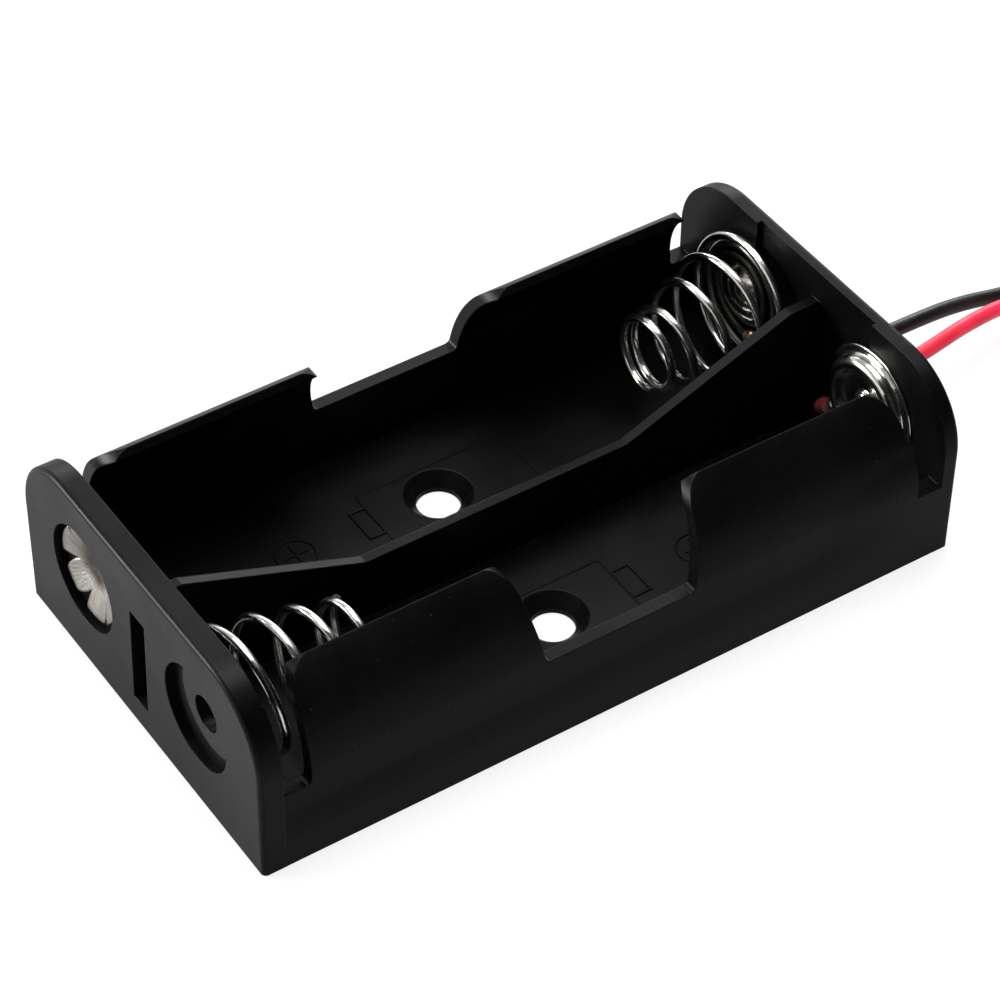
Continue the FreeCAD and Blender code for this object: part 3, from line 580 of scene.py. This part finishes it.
def make_rivet_button(node, x, y, heading, face_at, depth):
    """Both faces of one button, about its place in the wall; heading points to the cell.

    face_at is the flare's outer face and depth that of its funnel.
    """
    def spot(radius, angle, along):
        return at(along * heading, radius * math.cos(angle), radius * math.sin(angle))

    mesh = bmesh.new()
    add_petals(mesh, spot, 1, face_at, depth)
    back = face_at + FLARE_PLATE
    profile = [
        (0.0, back + 0.95 * depth), (1.0, back + 0.82 * depth), (1.6, back + 0.66 * depth),
        (2.05, back + 0.50 * depth), (2.22, back + 0.44 * depth), (2.3, back + 0.5 * depth), (2.3, 1.0),
        (4.6, 1.0), (4.65, 1.03), (4.66, 1.09), (4.65, 1.16), (4.6, 1.2),
        (4.3, 1.2), (4.12, 1.22), (4.03, 1.28), (4.0, 1.38), (4.0, 1.53), (3.965, 1.73), (3.88, 1.89),
        (3.74, 2.03), (3.56, 2.12), (3.36, 2.15), (3.16, 2.11), (2.98, 2.01), (2.84, 1.87),
        (2.7, 1.68), (2.5, 1.56), (2.1, 1.48), (1.7, 1.43), (1.45, 1.42), (1.28, 1.44)]
    profile += dome(1.15, 1.5, 2.05)[:-1] + [(0.0, 2.05)]
    # The crown is made apart from the petals, so that no point of theirs is welded to it.
    head = bmesh.new()
    add_turned(head, profile, spot, 0)
    loose = bpy.data.meshes.new("head")
    head.to_mesh(loose)
    head.free()
    mesh.from_mesh(loose)
    bpy.data.meshes.remove(loose)
    bmesh.ops.recalc_face_normals(mesh, faces=mesh.faces)
    data = bpy.data.meshes.new(node + "_dressed")
    mesh.to_mesh(data)
    mesh.free()
    made = bpy.data.objects.new(node + "_dressed", data)
    made.location = at(x, y, SEAT_HEIGHT)
    scene.collection.objects.link(made)
    data.materials.append(PLATE)
    data.materials.append(FLARE)
    bpy.context.view_layer.update()
    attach(made, "root")
    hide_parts(node)


make_rivet_button("series_button", -27.95, SEAT_ACROSS, 1, -0.38, 1.0)
make_rivet_button("positive_button", 28.4, -SEAT_ACROSS, -1, 0.0, 0.6)


# Ledges moulded behind the view hole and in the crescent of the wall without leads

def make_ledge(name, hole, rim, x0, x1):
    """Flat plate round a hole, with its rim sunk in the wall; hole and rim are centre and radius."""
    mesh = bmesh.new()
    rings = []
    for (y, z, radius), x in ((hole, x0), (rim, x0), (rim, x1), (hole, x1)):
        rings.append([
            mesh.verts.new(at(x, y + radius * math.cos(2 * math.pi * i / ROUND),
                              z + radius * math.sin(2 * math.pi * i / ROUND)))
            for i in range(ROUND)])
    for first, second in zip(rings, rings[1:] + rings[:1]):
        for i in range(ROUND):
            j = (i + 1) % ROUND
            mesh.faces.new((first[i], first[j], second[j], second[i]))
    add_to_tray(name, mesh)


make_ledge("view_hole_ledge", (7.6, 8.1, 2.2), (7.6, 8.1, 4.3), -27.99, -27.95)
make_ledge("crescent_ledge", (-9.26, 9.8, 1.45), (-7.7, 8.0, 4.3), -28.03, -27.96)


# Outer skins of the long walls, which run flush into the foot and into the wall with the leads

HALF_WIDTH = 15.93
FOOT_TOP = 1.35
SLOT_FLOOR = 6.4
WALL_FOOT = 15.80
KNEE = (15.48, 7.5)
KNEE_CENTRE = (7.2585, 7.149)
WALL_ARC = 8.229
# Lift below which the skin dips into the wall, the depths that it has there and elsewhere, and how
# far its hidden back lies inside.
SEAM = 0.12
DIP = -0.02
PROUD = 0.003
SKIN_DEPTH = 0.5
# Heights over which the foot and the corner run out.
FOOT_RUN = 4.9
CORNER_RUN = 4.6
# Along the wall: both ends of the skin, and where its high part starts and ends.
SKIN_START = -26.94
HIGH_START = 13.0
HIGH_END = 25.25
SKIN_END = 27.65
# Along the wall: where the corner starts to swell, and over what length.
SWELL_START = 14.0
SWELL_LENGTH = 13.4


def wall_face(z):
    """How far out the CAD wall's own face is at a height, or its foot below the slab's top."""
    if z < FOOT_TOP:
        return HALF_WIDTH
    if z < KNEE[1]:
        return between(WALL_FOOT, KNEE[0], z / KNEE[1])
    return KNEE_CENTRE[0] + math.sqrt(WALL_ARC ** 2 - (z - KNEE_CENTRE[1]) ** 2)


def soft(share):
    """Like ease, with no sudden bend at its ends either."""
    share = min(1.0, max(0.0, share))
    return share ** 3 * (share * (share * 6.0 - 15.0) + 10.0)


def lift_at(x, z):
    """How far the real wall stands out of the CAD wall's flat face."""
    foot = 1.0 - soft((z - FOOT_TOP) / FOOT_RUN)
    corner = soft((x - SWELL_START) / SWELL_LENGTH)
    if z > SLOT_FLOOR:
        corner *= 1.0 - soft((z - SLOT_FLOOR) / CORNER_RUN)
    return (HALF_WIDTH - min(HALF_WIDTH, wall_face(z))) * (1.0 - (1.0 - foot) * (1.0 - corner))


def skin_face(x, z):
    if z < FOOT_TOP:
        return HALF_WIDTH + PROUD
    lift = lift_at(x, z)
    # Where next to nothing is added the skin dips into the wall.
    return wall_face(z) + lift + between(DIP, PROUD, min(1.0, lift / SEAM))


def skin_normal(x, z, side):
    """Direction of the skin's face, which turns into the wall's own where the skin dips into it."""
    if z < FOOT_TOP:
        return Vector((0.0, side, 0.0))
    step = 0.05
    share = soft(lift_at(x, z) / SEAM)
    wall = (wall_face(z + step) - wall_face(z - step)) / (2 * step)
    along = (lift_at(x + step, z) - lift_at(x - step, z)) / (2 * step)
    up = (lift_at(x, z + step) - lift_at(x, z - step)) / (2 * step)
    return Vector((-along * share, side, -wall - up * share)).normalized()


def make_skin(name, side):
    """Closed shell on one long wall: low along all of it, and up to the flap at the corner."""
    xs = [between(SKIN_START, HIGH_START, i / 26) for i in range(26)]
    xs += [between(HIGH_START, HIGH_END, i / 24) for i in range(24)]
    xs += [between(HIGH_END, SKIN_END, i / 6) for i in range(7)]
    zs = [0.02, 0.5, 1.0] + [between(FOOT_TOP, SLOT_FLOOR, i / 24) for i in range(24)]
    zs += [SLOT_FLOOR + CORNER_RUN * i / 20 for i in range(21)]
    cells = [(i, j) for i in range(len(xs) - 1) for j in range(len(zs) - 1)
             if zs[j] < SLOT_FLOOR - 0.01 or HIGH_START - 0.1 < xs[i] < HIGH_END - 0.05]
    places = sorted({(i + a, j + b) for i, j in cells for a in (0, 1) for b in (0, 1)})
    number = {place: index for index, place in enumerate(places)}
    inner = len(places)
    points = [at(xs[i], side * (skin_face(xs[i], zs[j]) - depth), zs[j])
              for depth in (0.0, SKIN_DEPTH) for i, j in places]
    fronts, backs, rims = [], [], []
    for i, j in cells:
        a, b, c, d = (number[p] for p in ((i, j), (i + 1, j), (i + 1, j + 1), (i, j + 1)))
        fronts.append((a, b, c, d))
        backs.append((inner + d, inner + c, inner + b, inner + a))
        sides = ((a, b, (i, j - 1)), (b, c, (i + 1, j)), (c, d, (i, j + 1)), (d, a, (i - 1, j)))
        for first, second, beside in sides:
            if beside not in cells:
                rims.append((second, first, inner + first, inner + second))
    faces = fronts + backs + rims
    if side > 0:
        faces = [face[::-1] for face in faces]
    data = bpy.data.meshes.new(name)
    data.from_pydata(points, [], faces)
    data.update()
    facing = [skin_normal(xs[i], zs[j], side) for i, j in places]
    normals = []
    for face in data.polygons:
        face.use_smooth = True
        is_front = face.index < len(fronts)
        normals += [facing[v] if is_front else face.normal.copy() for v in face.vertices]
    data.normals_split_custom_set(normals)
    made = bpy.data.objects.new(name, data)
    scene.collection.objects.link(made)
    finish_with(made, PLASTIC_SKIN)
    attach(made, "root")


make_skin("near_wall_skin", -1)
make_skin("far_wall_skin", 1)


# Light, floor and background

def lamp(name, place, target, size, power):
    data = bpy.data.lights.new(name, "AREA")
    data.shape = "RECTANGLE"
    data.size, data.size_y = size
    data.energy = power
    made = bpy.data.objects.new(name, data)
    made.location = place
    made.rotation_euler = (Vector(target) - Vector(place)).to_track_quat("-Z", "Y").to_euler()
    scene.collection.objects.link(made)


lamp("lamp_over", (0.05, 0.12, 0.60), (0.0, 0.0, 0.0), (0.55, 0.40), 5.6)
lamp("lamp_left", (-0.42, 0.36, 0.11), (-0.02, 0.0, 0.0), (0.26, 0.20), 6.0)
lamp("lamp_behind", (0.35, 0.55, 0.28), (0.0, 0.0, 0.01), (0.6, 0.2), 3.0)

# White world behind the object for the camera, for shiny surfaces and through clear ones; dimmer
# for the light that it gives.
world = bpy.data.worlds.new("studio")
scene.world = world
world.use_nodes = True
tree = world.node_tree
tree.nodes["Background"].inputs["Color"].default_value = (1.0, 1.0, 1.0, 1.0)
tree.nodes["Background"].inputs["Strength"].default_value = 0.45
shown = tree.nodes.new("ShaderNodeBackground")
shown.inputs["Strength"].default_value = 1.0
shown.inputs["Color"].default_value = (1.0, 1.0, 1.0, 1.0)
path = tree.nodes.new("ShaderNodeLightPath")
choice = tree.nodes.new("ShaderNodeMixShader")
shows = path.outputs["Is Camera Ray"]
for kind in ("Is Glossy Ray", "Is Transmission Ray"):
    either = tree.nodes.new("ShaderNodeMath")
    either.operation = "MAXIMUM"
    tree.links.new(shows, either.inputs[0])
    tree.links.new(path.outputs[kind], either.inputs[1])
    shows = either.outputs["Value"]
tree.links.new(shows, choice.inputs["Fac"])
tree.links.new(tree.nodes["Background"].outputs["Background"], choice.inputs[1])
tree.links.new(shown.outputs["Background"], choice.inputs[2])
tree.links.new(choice.outputs["Shader"], tree.nodes["World Output"].inputs["Surface"])

FLOOR_EDGE = 3.0
FLOOR_HEIGHT = -0.00005
GLOW_SHARE = 0.8
floor_data = bpy.data.meshes.new("floor")
floor_data.from_pydata([
    (-FLOOR_EDGE, -FLOOR_EDGE, FLOOR_HEIGHT), (FLOOR_EDGE, -FLOOR_EDGE, FLOOR_HEIGHT),
    (FLOOR_EDGE, FLOOR_EDGE, FLOOR_HEIGHT), (-FLOOR_EDGE, FLOOR_EDGE, FLOOR_HEIGHT)],
    [], [(0, 1, 2, 3)])
floor = bpy.data.objects.new("floor", floor_data)
scene.collection.objects.link(floor)
floor_look = Shader("floor")
floor_look.set(Base_Color=(0.86, 0.86, 0.86, 1.0), Roughness=0.6)
finish_with(floor, floor_look.material)
glow = floor_look.node("ShaderNodeEmission")
seen = floor_look.node("ShaderNodeLightPath")
floor_place = floor_look.node("ShaderNodeSeparateXYZ")
floor_look.link(floor_look.place, floor_place.inputs["Vector"])
# Painted shadow: shiny surfaces see a floor that is white out to the left and dimmer towards the wall
# without leads on, standing in for the holder's shadow on the floor; the camera sees plain white.
glow_with_painted_shadow = floor_look.ramp(floor_place.outputs["X"], -0.0360, -0.0285, 1.0, 0.55)
glow_with_painted_shadow = floor_look.math("MAXIMUM", floor_look.math("MULTIPLY", glow_with_painted_shadow, seen.outputs["Is Glossy Ray"]),
                        floor_look.math("SUBTRACT", 1.0, seen.outputs["Is Glossy Ray"]))
floor_look.link(glow_with_painted_shadow, glow.inputs["Strength"])
floor_mix = floor_look.node("ShaderNodeMixShader")
plainly = floor_look.math("MAXIMUM", seen.outputs["Is Glossy Ray"], seen.outputs["Is Transmission Ray"])
plainly = floor_look.math("MAXIMUM", seen.outputs["Is Camera Ray"], plainly)
# The rest of the floor's light is its own, so that it keeps the holder's shadow.
floor_look.link(floor_look.math("MULTIPLY", plainly, GLOW_SHARE), floor_mix.inputs["Fac"])
floor_look.link(floor_look.surface.outputs["BSDF"], floor_mix.inputs[1])
floor_look.link(glow.outputs["Emission"], floor_mix.inputs[2])
floor_look.link(floor_mix.outputs["Shader"], floor_look.tree.nodes["Material Output"].inputs["Surface"])


def card(name, corners, faces, tone):
    """Card that only shiny surfaces see."""
    data = bpy.data.meshes.new(name)
    data.from_pydata(corners, [], faces)
    made = bpy.data.objects.new(name, data)
    scene.collection.objects.link(made)
    look = Shader(name)
    look.set(Base_Color=(tone, tone, tone, 1.0), Roughness=0.9, Specular_IOR_Level=0.0)
    finish_with(made, look.material)
    made.visible_camera = False
    made.visible_shadow = False
    made.visible_diffuse = False


# A black one in front of, above and beside the holder, and a grey one as a ceiling over the lamps.
card("black_card", [
    (-0.6, -0.34, 0.012), (0.6, -0.34, 0.012), (-0.6, -0.34, 0.42), (0.6, -0.34, 0.42),
    (-0.6, -0.02, 0.42), (0.6, -0.02, 0.42), (0.6, 0.25, 0.012), (0.6, 0.25, 0.42)],
    [(0, 1, 3, 2), (2, 3, 5, 4), (1, 6, 7, 3)], 0.01)
card("ceiling_card", [(-1.2, -0.4, 0.75), (1.2, -0.4, 0.75), (1.2, 1.6, 0.75), (-1.2, 1.6, 0.75)],
     [(0, 1, 2, 3)], 0.7)

scene.view_settings.view_transform = "Standard"

bpy.context.view_layer.update()
